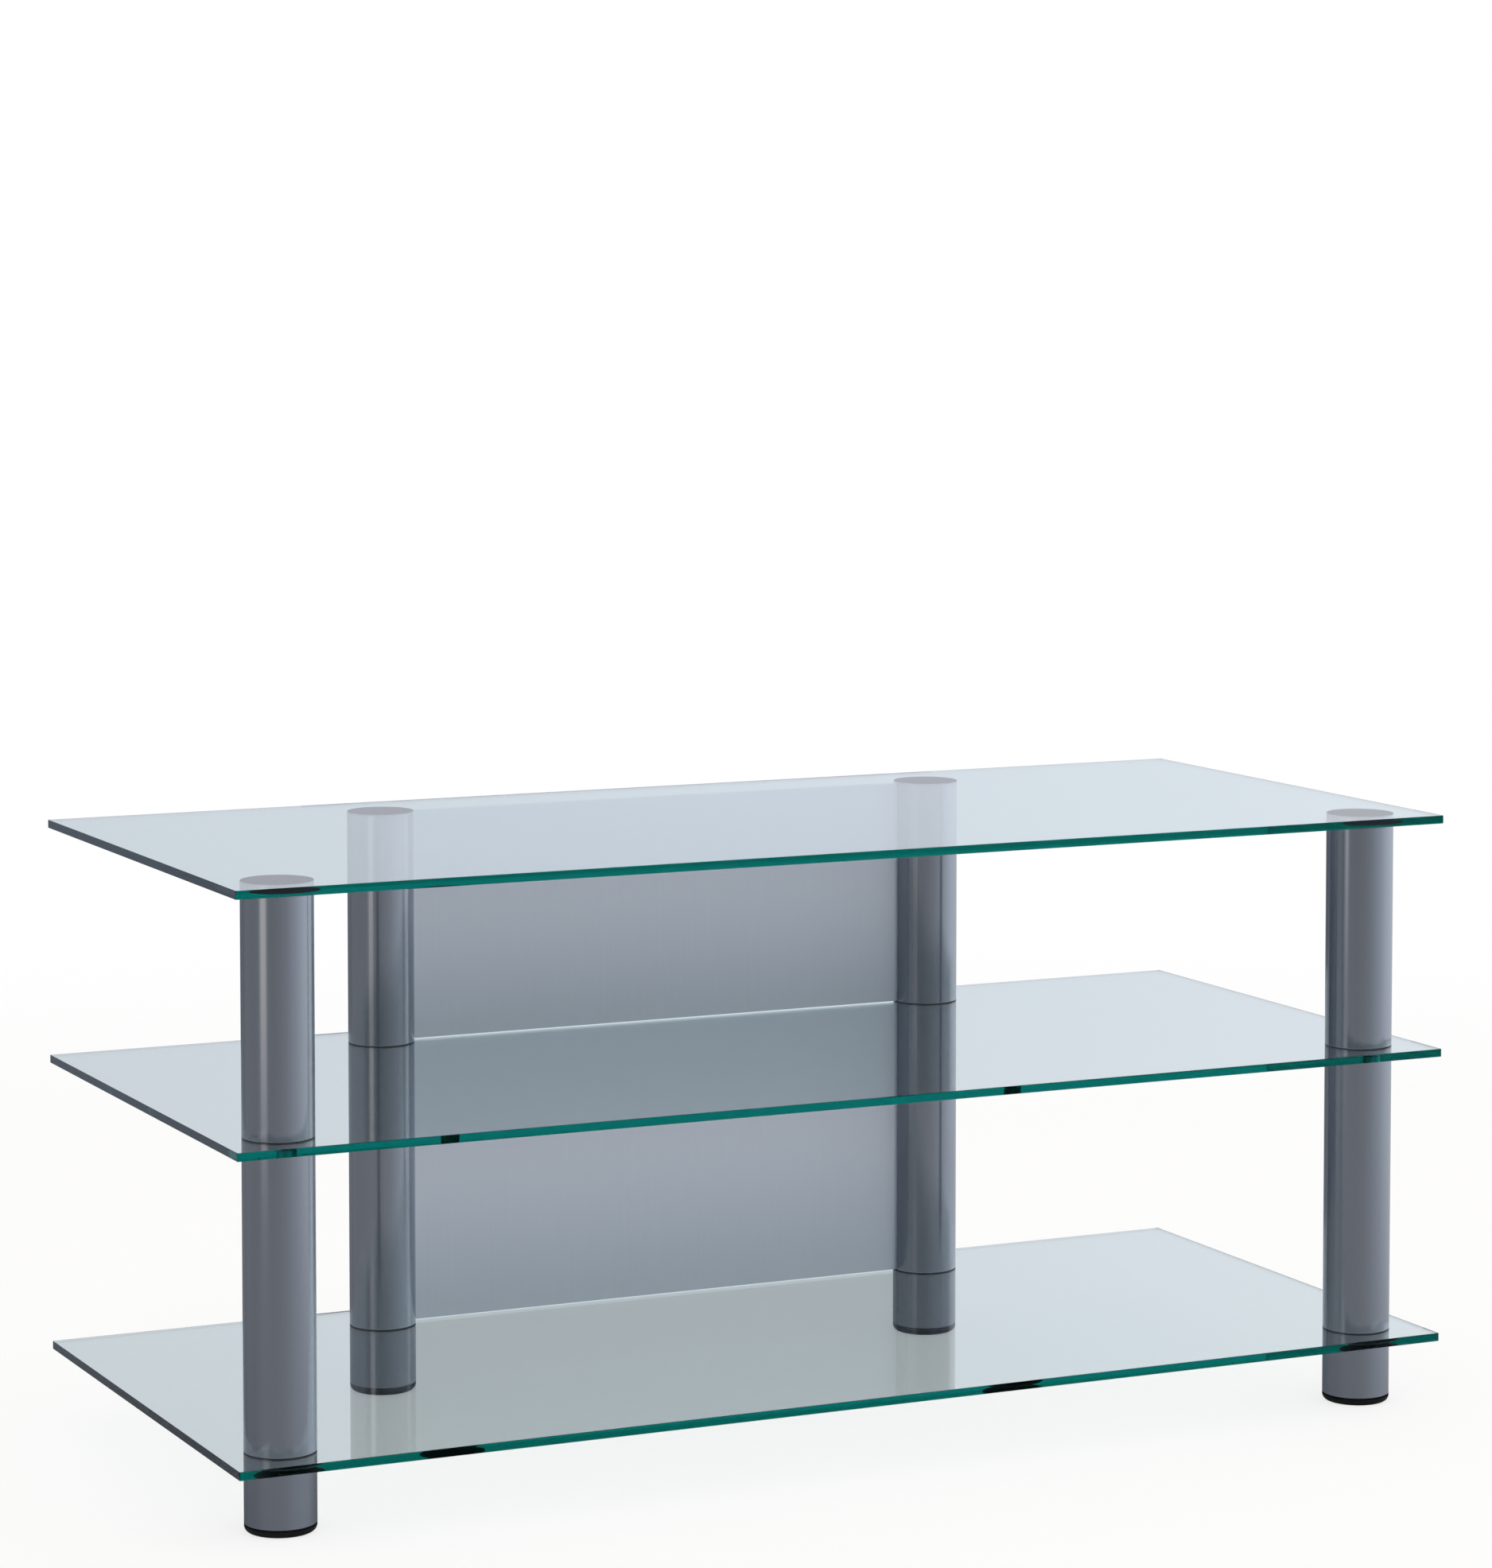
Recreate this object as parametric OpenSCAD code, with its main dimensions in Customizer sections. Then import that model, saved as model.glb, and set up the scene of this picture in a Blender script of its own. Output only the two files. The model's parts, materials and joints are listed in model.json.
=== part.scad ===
// Television stand: three glass shelves clamped on four round aluminium posts.
// The top glass has no holes and rests on discs bonded under it. The two lower glasses are drilled,
// and a tie rod in each post pulls the whole stack together. Two back panels hide the cables.
// Millimetres, +Z up, floor at zero, front towards -Y, origin under the middle of the shelves.

/* [Shelves] */
// Width of each glass shelf, left to right
shelf_w = 950; // [840:5:1200]
// Depth of each glass shelf, front to back
shelf_d = 420; // [360:5:520]
// Thickness of the glass
glass_t = 6; // [5:0.5:10]
// Width of the ground arris along each glass edge
arris = 0.8; // [0.4:0.1:1.5]
// Diameter of the holes drilled for the tie rods
glass_hole_d = 14; // [12:0.5:20]

/* [Posts] */
// Outside diameter of the post tubes
tube_d = 50; // [44:1:60]
// Wall thickness of the post tubes
tube_wall = 1.5; // [1:0.25:2.5]
// Width of the chamfer around each tube end
tube_chamfer = 0.3; // [0.1:0.1:0.6]
// Length of the tubes below the bottom shelf
base_tube_l = 43; // [42:1:80]
// Length of the tubes between the bottom shelf and the middle shelf
lower_tube_l = 209; // [120:1:300]
// Length of the tubes between the middle shelf and the top discs
upper_tube_l = 166; // [100:1:300]
// Distance from a shelf's side edge to the axis of a front post
front_side_inset = 45; // [32:1:120]
// Distance from a shelf's front edge to the axis of a front post
front_edge_inset = 45; // [32:1:100]
// Distance between the axes of the two rear posts
rear_spacing = 462; // [300:2:760]
// Distance from a shelf's rear edge to the axis of a rear post
rear_edge_inset = 50; // [32:1:100]

/* [Back panels] */
// Thickness of the panel sheet
panel_t = 2; // [1:0.25:3]
// Gap between a panel and the glass above and below it
panel_gap = 0.5; // [0.5:0.25:4]
// Reach of a panel's edge into a rear tube, from the tube's outside
panel_reach = 6; // [4:0.5:8]
// Clearance on each side of the panel in its slot
slot_play = 0.2; // [0.1:0.05:0.4]
// Clearance between a panel's tongue and each end of its tubes
tongue_play = 0.5; // [0.25:0.25:2]

/* [End plugs] */
// Thickness of the collar between a tube end and the glass
collar_t = 0.3; // [0.3:0.1:1.5]
// Depth of a plug inside its tube
plug_l = 8; // [5:0.5:11]
// Thickness of a plug's moulded walls
plug_wall = 2; // [1.5:0.25:3]
// Diameter of the hub around the rod hole
plug_hub_d = 16; // [13:0.5:22]
// Radial clearance of plugs and discs inside the tubes
plug_play = 0.05; // [0.02:0.01:0.1]
// Radial clearance of a plug's nose in the glass hole
nose_play = 0.2; // [0.1:0.05:0.4]
// Gap between the two noses that meet inside a glass hole
nose_gap = 1; // [0.5:0.25:2]

/* [Tie rods] */
// Diameter of the tie rods and of the foot screws
rod_d = 8; // [6:1:10]
// Radial clearance of the rods in the plugs
rod_play = 0.3; // [0.1:0.05:0.6]
// Radial play that stands for the screw thread
thread_play = 0.05; // [0.02:0.01:0.1]
// Free length left at each end of a rod
rod_end_gap = 1; // [0.5:0.25:3]

/* [Top discs] */
// Thickness of the discs under the top glass
disc_t = 3; // [2:0.5:6]
// Depth of the disc's locating ring inside the tube
disc_ring_l = 5; // [3:0.5:10]
// Thickness of the disc's locating ring
disc_ring_wall = 2; // [1.5:0.25:4]
// Diameter of the threaded boss under a disc
disc_boss_d = 18; // [15:0.5:24]
// Length of the threaded boss under a disc
disc_boss_l = 14; // [10:1:24]
// Metal left above the threaded hole
disc_roof = 1.5; // [1:0.25:1.75]
// Thickness of the bonding pad between disc and glass
pad_t = 0.5; // [0.3:0.1:1.5]

/* [Feet] */
// Height of a foot pad
foot_h = 4.8; // [3.4:0.1:8]
// Radius of the rounded lower edge of a foot pad
foot_round = 4.5; // [1:0.25:4.5]
// Gap above a foot pad when it is screwed right in
foot_gap = 0.3; // [0.3:0.1:1]
// Height of the hexagon head of a foot screw
foot_head_h = 2.5; // [1.5:0.25:3]
// Length of a foot screw above its head
foot_screw_l = 18; // [13:1:24]
// Clearance of each hexagon in its pocket
hex_play = 0.05; // [0.02:0.01:0.1]

/* [Base plugs] */
// Thickness of the collar below a base tube
base_collar_t = 1; // [0.6:0.1:3]
// Thickness of the outer wall of a base plug
base_plug_wall = 2.5; // [1.5:0.25:4]
// Diameter of the hub that holds the coupling nut
base_hub_d = 22; // [19:0.5:26]
// Thickness of the floor of a base plug, above its collar
base_floor_t = 4; // [2:0.5:8]
// Plastic above the coupling nut
base_roof_t = 3; // [2:0.25:4]
// Length of a coupling nut
nut_l = 30; // [24:1:30]
// Width across the flats of the coupling nuts and screw heads
nut_af = 13; // [12:0.5:14]

/* [Hidden] */
$fn = 96;

tube_r = tube_d / 2;
bore_r = tube_r - tube_wall;
plug_r = bore_r - plug_play;
rod_hole_d = rod_d + 2 * rod_play;
thread_hole_d = rod_d + 2 * thread_play;
nose_l = (glass_t - nose_gap) / 2;
slot_w = panel_t + 2 * slot_play;
// Past a surface that a cut has to clear
cut = 1;
// Least straight side left above a foot's rounded edge
foot_side = 0.2;
// Diameter across the corners of a hexagon of a given width across flats
function hex_d(flats) = flats / cos(30);

// Heights from the floor up
collar_z = foot_h + foot_gap;
base_z = collar_z + base_collar_t;
base_top = base_z + base_tube_l;
bottom_glass_z = base_top + collar_t;
lower_z = bottom_glass_z + glass_t + collar_t;
lower_top = lower_z + lower_tube_l;
middle_glass_z = lower_top + collar_t;
upper_z = middle_glass_z + glass_t + collar_t;
upper_top = upper_z + upper_tube_l;
pad_z = upper_top + disc_t;
top_glass_z = pad_z + pad_t;
rod_z = foot_h + foot_screw_l + rod_end_gap;
rod_top = pad_z - disc_roof - rod_end_gap;

// Each post: its axis, and the side of it that faces the middle of the stand
front_x = shelf_w / 2 - front_side_inset;
front_y = front_edge_inset - shelf_d / 2;
rear_x = rear_spacing / 2;
rear_y = shelf_d / 2 - rear_edge_inset;
FRONT_LEFT = [-front_x, front_y, 1];
FRONT_RIGHT = [front_x, front_y, -1];
REAR_LEFT = [-rear_x, rear_y, 1];
REAR_RIGHT = [rear_x, rear_y, -1];
POSTS = [FRONT_LEFT, FRONT_RIGHT, REAR_LEFT, REAR_RIGHT];

GLASS = [0.78, 0.90, 0.90, 0.45];
SATIN_ALUMINIUM = [0.52, 0.54, 0.58];
PANEL_SILVER = [0.66, 0.69, 0.73];
ZINC = [0.72, 0.73, 0.74];
BLACK = [0.10, 0.10, 0.11];

// Puts a piece on the axis of a post, turned to the middle of the stand
module on_post(post, z) {
    translate([post[0], post[1], z])
        rotate([0, 0, post[2] > 0 ? 0 : 180])
            children();
}

// Outline of a rectangle whose corners are cut off by the arris
module cut_rectangle(w, d) {
    x = w / 2;
    y = d / 2;
    polygon([[arris - x, -y], [x - arris, -y], [x, arris - y], [x, y - arris],
             [x - arris, y], [arris - x, y], [-x, y - arris], [-x, arris - y]]);
}

// Glass plate with an arris on every edge, standing on z = 0
module plate() {
    intersection() {
        linear_extrude(glass_t) cut_rectangle(shelf_w, shelf_d);
        translate([0, shelf_d / 2, glass_t / 2])
            rotate([90, 0, 0])
                linear_extrude(shelf_d) cut_rectangle(shelf_w, glass_t);
        translate([-shelf_w / 2, 0, glass_t / 2])
            rotate([90, 0, 90])
                linear_extrude(shelf_w) cut_rectangle(shelf_d, glass_t);
    }
}

// Glass plate with a hole for each tie rod
module drilled_plate() {
    difference() {
        plate();
        for (post = POSTS)
            on_post(post, -cut) cylinder(d = glass_hole_d, h = glass_t + 2 * cut);
    }
}

module top_shelf() {
    color(GLASS) translate([0, 0, top_glass_z]) plate();
}

module middle_shelf() {
    color(GLASS) translate([0, 0, middle_glass_z]) drilled_plate();
}

module bottom_shelf() {
    color(GLASS) translate([0, 0, bottom_glass_z]) drilled_plate();
}

// Round tube with a small chamfer outside at both ends
module round_tube(l) {
    c = tube_chamfer;
    rotate_extrude()
        polygon([[bore_r, 0], [tube_r - c, 0], [tube_r, c], [tube_r, l - c], [tube_r - c, l], [bore_r, l]]);
}

// Round tube with a slot along it for a panel's edge
module slotted_tube(l) {
    difference() {
        round_tube(l);
        translate([bore_r - tube_wall, -slot_w / 2, -cut])
            cube([2 * tube_wall + cut, slot_w, l + 2 * cut]);
    }
}

module base_tube(post) {
    color(SATIN_ALUMINIUM) on_post(post, base_z) round_tube(base_tube_l);
}

module front_lower_tube(post) {
    color(SATIN_ALUMINIUM) on_post(post, lower_z) round_tube(lower_tube_l);
}

module rear_lower_tube(post) {
    color(SATIN_ALUMINIUM) on_post(post, lower_z) slotted_tube(lower_tube_l);
}

module front_upper_tube(post) {
    color(SATIN_ALUMINIUM) on_post(post, upper_z) round_tube(upper_tube_l);
}

module rear_upper_tube(post) {
    color(SATIN_ALUMINIUM) on_post(post, upper_z) slotted_tube(upper_tube_l);
}

// Sheet between two glasses, with a tongue at each side that stands in the slots of the rear tubes
module panel(tube_z, tube_top, glass_below, glass_above) {
    body_x = rear_x - tube_r - panel_gap;
    tongue_x = rear_x - tube_r + panel_reach;
    body_h = glass_above - glass_below - 2 * panel_gap;
    tongue_h = tube_top - tube_z - 2 * tongue_play;
    translate([-body_x, rear_y - panel_t / 2, glass_below + panel_gap])
        cube([2 * body_x, panel_t, body_h]);
    translate([-tongue_x, rear_y - panel_t / 2, tube_z + tongue_play])
        cube([2 * tongue_x, panel_t, tongue_h]);
}

module back_panel_upper() {
    color(PANEL_SILVER) panel(upper_z, upper_top, middle_glass_z + glass_t, top_glass_z);
}

module back_panel_lower() {
    color(PANEL_SILVER) panel(lower_z, lower_top, bottom_glass_z + glass_t, middle_glass_z);
}

// Room for a panel's tongue in what stands inside a tube, from z = 0 down
module tongue_notch(l) {
    x = tube_r - panel_reach - tongue_play;
    translate([x, -slot_w / 2, -l - cut]) cube([tube_r - x, slot_w, l + cut]);
}

// Plug for a tube end at z = 0: its collar and nose point up to the glass
module end_plug() {
    difference() {
        union() {
            cylinder(r = tube_r, h = collar_t);
            translate([0, 0, collar_t]) cylinder(r = glass_hole_d / 2 - nose_play, h = nose_l);
            translate([0, 0, -plug_l]) cylinder(r = plug_r, h = plug_l);
        }
        translate([0, 0, -plug_l - cut])
            difference() {
                cylinder(r = plug_r - plug_wall, h = plug_l + cut - plug_wall);
                cylinder(d = plug_hub_d, h = plug_l + cut - plug_wall);
            }
        translate([0, 0, -plug_l - cut]) cylinder(d = rod_hole_d, h = plug_l + collar_t + nose_l + 2 * cut);
        tongue_notch(plug_l);
    }
}

// The same plug the other way up, for the lower end of a tube
module end_plug_down() {
    mirror([0, 0, 1]) end_plug();
}

module upper_tube_plugs() {
    color(BLACK) for (post = POSTS) on_post(post, upper_z) end_plug_down();
}

module lower_tube_plugs() {
    color(BLACK)
        for (post = POSTS) {
            on_post(post, lower_z) end_plug_down();
            on_post(post, lower_top) end_plug();
        }
}

module base_tube_plugs() {
    color(BLACK) for (post = POSTS) on_post(post, base_top) end_plug();
}

// Disc under the top glass, with a ring that centres it in the tube and a threaded boss
module top_disc() {
    difference() {
        union() {
            cylinder(r = tube_r, h = disc_t);
            difference() {
                translate([0, 0, -disc_ring_l]) cylinder(r = plug_r, h = disc_ring_l);
                translate([0, 0, -disc_ring_l - cut])
                    cylinder(r = plug_r - disc_ring_wall, h = disc_ring_l + cut);
                tongue_notch(disc_ring_l);
            }
            translate([0, 0, -disc_boss_l]) cylinder(d = disc_boss_d, h = disc_boss_l);
        }
        translate([0, 0, -disc_boss_l - cut])
            cylinder(d = thread_hole_d, h = disc_boss_l + cut + disc_t - disc_roof);
    }
}

module top_discs() {
    color(SATIN_ALUMINIUM) for (post = POSTS) on_post(post, upper_top) top_disc();
}

module bonding_pads() {
    color(BLACK) for (post = POSTS) on_post(post, pad_z) cylinder(r = tube_r, h = pad_t);
}

module tie_rods() {
    color(ZINC) for (post = POSTS) on_post(post, rod_z) cylinder(d = rod_d, h = rod_top - rod_z);
}

// Plug in the foot of a post: the coupling nut sits in its hub, which the collar carries
module base_plug() {
    inside_l = nut_l + base_roof_t - base_collar_t;
    room_z = base_collar_t + base_floor_t;
    room_h = inside_l - base_floor_t + cut;
    difference() {
        union() {
            cylinder(r = tube_r, h = base_collar_t);
            translate([0, 0, base_collar_t]) cylinder(r = plug_r, h = inside_l);
        }
        translate([0, 0, room_z])
            difference() {
                cylinder(r = plug_r - base_plug_wall, h = room_h);
                cylinder(d = base_hub_d, h = room_h);
            }
        translate([0, 0, -cut]) cylinder(d = hex_d(nut_af + 2 * hex_play), h = nut_l + cut, $fn = 6);
        cylinder(d = rod_hole_d, h = nut_l + base_roof_t + cut);
    }
}

module base_plugs() {
    color(BLACK) for (post = POSTS) on_post(post, collar_z) base_plug();
}

// Long hexagon nut, threaded right through
module coupling_nut() {
    difference() {
        cylinder(d = hex_d(nut_af), h = nut_l, $fn = 6);
        translate([0, 0, -cut]) cylinder(d = thread_hole_d, h = nut_l + 2 * cut);
    }
}

module coupling_nuts() {
    color(ZINC) for (post = POSTS) on_post(post, collar_z) coupling_nut();
}

// Round pad under a post, with a pocket for the screw's head
module foot(post) {
    edge_r = min(foot_round, foot_h - foot_side);
    color(BLACK)
        on_post(post, 0)
            difference() {
                intersection() {
                    cylinder(r = tube_r, h = foot_h);
                    rotate_extrude() {
                        square([tube_r - edge_r, foot_h]);
                        translate([0, edge_r]) square([tube_r, foot_h]);
                        translate([tube_r - edge_r, edge_r]) circle(r = edge_r);
                    }
                }
                translate([0, 0, foot_h - foot_head_h])
                    cylinder(d = hex_d(nut_af + 2 * hex_play), h = foot_head_h + cut, $fn = 6);
            }
}

// Screw that carries a foot and sets its height in the coupling nut
module foot_screw(post) {
    color(ZINC)
        on_post(post, foot_h - foot_head_h) {
            cylinder(d = hex_d(nut_af), h = foot_head_h, $fn = 6);
            cylinder(d = rod_d, h = foot_head_h + foot_screw_l);
        }
}

top_shelf();
middle_shelf();
bottom_shelf();
front_upper_tube(FRONT_LEFT);  // upper_tube_front_left
front_upper_tube(FRONT_RIGHT);  // upper_tube_front_right
rear_upper_tube(REAR_LEFT);  // upper_tube_rear_left
rear_upper_tube(REAR_RIGHT);  // upper_tube_rear_right
front_lower_tube(FRONT_LEFT);  // lower_tube_front_left
front_lower_tube(FRONT_RIGHT);  // lower_tube_front_right
rear_lower_tube(REAR_LEFT);  // lower_tube_rear_left
rear_lower_tube(REAR_RIGHT);  // lower_tube_rear_right
base_tube(FRONT_LEFT);  // base_tube_front_left
base_tube(FRONT_RIGHT);  // base_tube_front_right
base_tube(REAR_LEFT);  // base_tube_rear_left
base_tube(REAR_RIGHT);  // base_tube_rear_right
back_panel_upper();
back_panel_lower();
top_discs();
bonding_pads();
tie_rods();
upper_tube_plugs();
lower_tube_plugs();
base_tube_plugs();
base_plugs();
coupling_nuts();
foot(FRONT_LEFT);  // foot_front_left
foot(FRONT_RIGHT);  // foot_front_right
foot(REAR_LEFT);  // foot_rear_left
foot(REAR_RIGHT);  // foot_rear_right
foot_screw(FRONT_LEFT);  // foot_screw_front_left
foot_screw(FRONT_RIGHT);  // foot_screw_front_right
foot_screw(REAR_LEFT);  // foot_screw_rear_left
foot_screw(REAR_RIGHT);  // foot_screw_rear_right
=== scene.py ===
"""Glass television stand: finer meshes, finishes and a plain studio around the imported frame."""

import json
import math

import bpy
import numpy as np
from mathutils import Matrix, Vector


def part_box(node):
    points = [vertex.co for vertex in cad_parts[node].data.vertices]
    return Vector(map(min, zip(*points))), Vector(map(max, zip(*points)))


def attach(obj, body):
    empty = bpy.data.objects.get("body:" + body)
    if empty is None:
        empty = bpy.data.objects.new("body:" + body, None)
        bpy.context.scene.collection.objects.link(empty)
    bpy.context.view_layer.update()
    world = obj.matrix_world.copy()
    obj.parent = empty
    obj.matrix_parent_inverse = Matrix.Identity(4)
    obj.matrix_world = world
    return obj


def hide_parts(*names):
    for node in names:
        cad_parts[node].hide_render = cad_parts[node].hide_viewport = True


bl_info = {
    "name": "Glass Television Stand",
    "version": (1, 0, 0),
    "blender": (4, 5, 0),
    "location": "3D View > Sidebar > Glass Stand",
    "description": "Glass shelves, satin aluminium posts, cable panels and feet of a low television stand",
    "category": "Add Mesh",
}

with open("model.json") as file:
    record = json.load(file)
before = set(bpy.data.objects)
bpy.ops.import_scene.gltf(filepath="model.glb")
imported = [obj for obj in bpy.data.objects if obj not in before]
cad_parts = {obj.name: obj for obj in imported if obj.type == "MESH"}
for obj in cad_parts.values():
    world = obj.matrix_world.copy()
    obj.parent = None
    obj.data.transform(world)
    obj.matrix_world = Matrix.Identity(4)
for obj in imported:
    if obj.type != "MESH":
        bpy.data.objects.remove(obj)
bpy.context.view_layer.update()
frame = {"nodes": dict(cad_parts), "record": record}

MM = 0.001
STAND = "stand"
CORNERS = ("front_left", "front_right", "rear_left", "rear_right")
STAGES = ("upper", "lower", "base")

# How finely round shapes are divided: full circles first, then quarter circles
TUBE_SIDES = 240
HOLE_SIDES = 72
ROUND_STEPS = 4
CORNER_STEPS = 6
BEVEL_STEPS = 3
# Two faces of the glass that meet at a wider angle are shaded as an edge. The faces of a hole's wall meet
# at 5 degrees, and the flat glass edge and the first face of its dubbed corner at 7.5
FLAT_DEG = 6.0
# How far the cutter of the glass holes runs on past the glass
CUTTER_REACH = 2 * MM
# The walls of the glass holes lie further than this from the outline of the glass
OUTLINE_MARGIN = 5 * MM

# The photograph's viewpoint, solved from the corners of the shelves and the posts. The shift is less than
# the photograph's own, which would push the stand out of other views
CAMERA_PLACE = (-1.5313, -3.2450, 0.8955)
CAMERA_YAW_DEG = 25.236
CAMERA_PITCH_DEG = 3.681
CAMERA_LENS_MM = 111.39
CAMERA_SHIFT_Y = -0.165
CAMERA_CLIP = (0.05, 60.0)

# What metal and glass see of the studio. A ramp holds (place, radiance) pairs, and its places run from 0,
# straight to the left, to 1, straight to the right
RADIANCE_BELOW = (
    (0.0, (0.42, 0.42, 0.42)), (0.25, (0.42, 0.42, 0.42)), (0.40, (0.46, 0.46, 0.46)),
    (0.57, (0.53, 0.54, 0.55)), (0.68, (0.61, 0.63, 0.65)), (0.775, (0.74, 0.77, 0.79)),
    (0.86, (0.83, 0.87, 0.90)), (0.925, (0.97, 1.01, 1.04)), (1.0, (1.22, 1.27, 1.31)))
RADIANCE_ABOVE = (
    (0.0, (0.40, 0.41, 0.44)), (0.40, (0.50, 0.52, 0.56)), (0.55, (0.70, 0.73, 0.80)),
    (0.665, (0.77, 0.80, 0.89)), (0.80, (0.90, 0.91, 0.97)), (1.0, (1.05, 1.03, 1.03)))
RADIANCE_OVERHEAD = (1.0, 1.0, 1.0, 1)
RADIANCE_UNDERFOOT = (0.43, 0.43, 0.44, 1)
RADIANCE_PALE_FLOOR = (0.90, 0.91, 0.92, 1)
RADIANCE_BEHIND_FEET = (0.235, 0.25, 0.265, 1)
RADIANCE_WALL = (0.17, 0.185, 0.21, 1)
RADIANCE_WALL_FOOT = (0.09, 0.095, 0.10, 1)
RADIANCE_WALL_PANEL = (0.41, 0.49, 0.64, 1)
# The directions in which the ramps rise, and in which the painted shadow of the stand on the mirrored floor
# grows dark
RIGHTWARDS = (0.995, -0.10, 0.0)
UNDER_STAND = (0.6, 0.8, 0.0)
# The change under the stand starts and ends at these shares of that direction, and it starts slowly
UNDER_RANGE = (-0.6, 1.0)
UNDER_POWER = 1.4
# The share of its light that the floor keeps at the feet, in front of the stand and under it: a painted
# shadow of the stand, which the metal mirrors
FLOOR_LIGHT = (0.82, 0.16)
# Soft bands of the studio. Each has the line that it follows, where its change starts and ends on that
# line, and its value before and after. A direction's lines are across, along and height, its shares to
# the right, to the back and upwards, and side, its place on the ramps
BANDS = {
    "dimmer_front": ("along", 0.05, -0.35, 1.0, 0.25),
    "above": ("height", -0.07, 0.07, 0.0, 1.0),
    "overhead": ("height", 0.30, 0.80, 0.0, 1.0),
    "underfoot": ("height", -0.10, -0.40, 0.0, 1.0),
    "pale_floor": ("height", -0.26, -0.42, 0.0, 1.0),
    "feet": ("height", -0.222, -0.25, 0.0, 1.0),
    "rear": ("along", -0.45, 0.35, 0.0, 1.0),
    "left": ("side", 0.62, 0.42, 0.0, 1.0),
    "rear_feet": ("height", -0.215, -0.255, 0.0, 1.0),
    "far_rear": ("along", 0.66, 1.05, 0.0, 1.0),
    "below_eye": ("height", 0.03, -0.03, 0.0, 1.0),
    "panel_left": ("across", -0.345, -0.328, 0.0, 1.0),
    "panel_right": ("across", -0.266, -0.283, 0.0, 1.0),
    "panel_foot": ("height", -0.20, -0.24, 1.0, 0.55),
}
# Parts of the studio that lie where several bands meet
PARTS = {
    "behind_feet": ("rear", "left", "rear_feet"),
    "wall": ("far_rear", "below_eye"),
    "wall_panel": ("panel_left", "panel_right", "panel_foot"),
}

# The floor reaches this far from the stand's middle, and its points are this many along a side
FLOOR_REACH = 3.0
FLOOR_POINTS = 33
# Distances at which the floor has faded out and at which it is whole
FLOOR_FADE = (2.6, 1.0)
FLOOR_COLOUR = (0.97, 0.94, 0.91, 1)
# How much of the floor the camera sees, and how much metal and glass mirror or let through
VEIL_FOR_CAMERA = 0.25
VEIL_FOR_MIRRORS = 0.10


def node_box(node):
    """Lowest and highest corner of a CAD node as two numpy rows."""
    low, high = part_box(node)
    return np.array(low), np.array(high)


def post_axis(corner):
    """Where the axis of a post stands on the floor, from its base tube."""
    low, high = node_box(f"base_tube_{corner}")
    return (low[:2] + high[:2]) / 2


def towards_middle(corner):
    """Angle, seen from above, at which a post faces the middle of the stand."""
    return 0.0 if corner.endswith("left") else math.pi


TUBE_LOW, TUBE_HIGH = node_box("base_tube_front_left")
TUBE_RADIUS = (TUBE_HIGH[0] - TUBE_LOW[0]) / 2
# Half the width and half the depth of the glass, which is centred on the frame's origin
GLASS_HALVES = node_box("top_shelf")[1][:2]


def length(name, description, default, low, high):
    """A length property, its default and limits given in millimetres."""
    return bpy.props.FloatProperty(
        name=name, description=description, default=default * MM, min=low * MM, max=high * MM,
        unit="LENGTH", precision=6)


class StandSizes(bpy.types.PropertyGroup):
    """Sizes of the fine details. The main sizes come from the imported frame."""

    glass_arris: length("Glass arris", "Width of the ground arris along the glass edges", 0.25, 0.1, 0.8)
    glass_corner: length("Glass corner", "Radius of the dubbed corners of the glass", 0.8, 0.4, 3)
    hole_diameter: length("Hole diameter", "Diameter of the holes for the tie rods", 14, 12, 20)
    liner_wall: length("Liner wall", "Wall thickness of the sleeves in the glass holes", 0.2, 0.1, 0.2)
    liner_setback: length("Liner setback", "How far a sleeve's ends lie within the glass faces", 0.4, 0.3, 1)
    wetting: length(
        "Wetting", "How far a bonded face is let into the glass, so that no air shows between",
        0.03, 0.01, 0.1)
    air_gap: length(
        "Air gap", "Film of air between the middle glass and the collars that only touch it",
        0.05, 0.01, 0.2)
    tube_wall: length("Tube wall", "Wall thickness of the post tubes", 1.5, 1, 2.5)
    tube_end_round: length("Tube end round", "Radius of the broken edge around each tube end", 0.15, 0.1, 0.6)
    slot_width: length(
        "Panel slot", "Width of the slot in a rear tube that takes a panel's edge", 2.4, 1.5, 4)
    panel_gap: length("Panel gap", "Gap between a panel's body and the rear tubes", 0.5, 0.5, 4)
    tongue_play: length(
        "Tongue play", "Room between a panel's tongue and each end of its tubes", 0.5, 0.25, 2)
    sheet_edge: length("Sheet edge", "Radius of the broken edges of the panel sheet", 0.3, 0.1, 0.8)


def linear(value):
    """An sRGB hex value as three linear numbers, by the sRGB standard's own formula."""
    channels = [int(value[i:i + 2], 16) / 255 for i in (1, 3, 5)]
    return tuple(c / 12.92 if c <= 0.04045 else ((c + 0.055) / 1.055) ** 2.4 for c in channels)


def hex_colour(name, description, value):
    """A colour property whose default is an sRGB hex value, turned linear."""
    return bpy.props.FloatVectorProperty(
        name=name, description=description, subtype="COLOR", size=3, min=0, max=1, default=linear(value))


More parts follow.
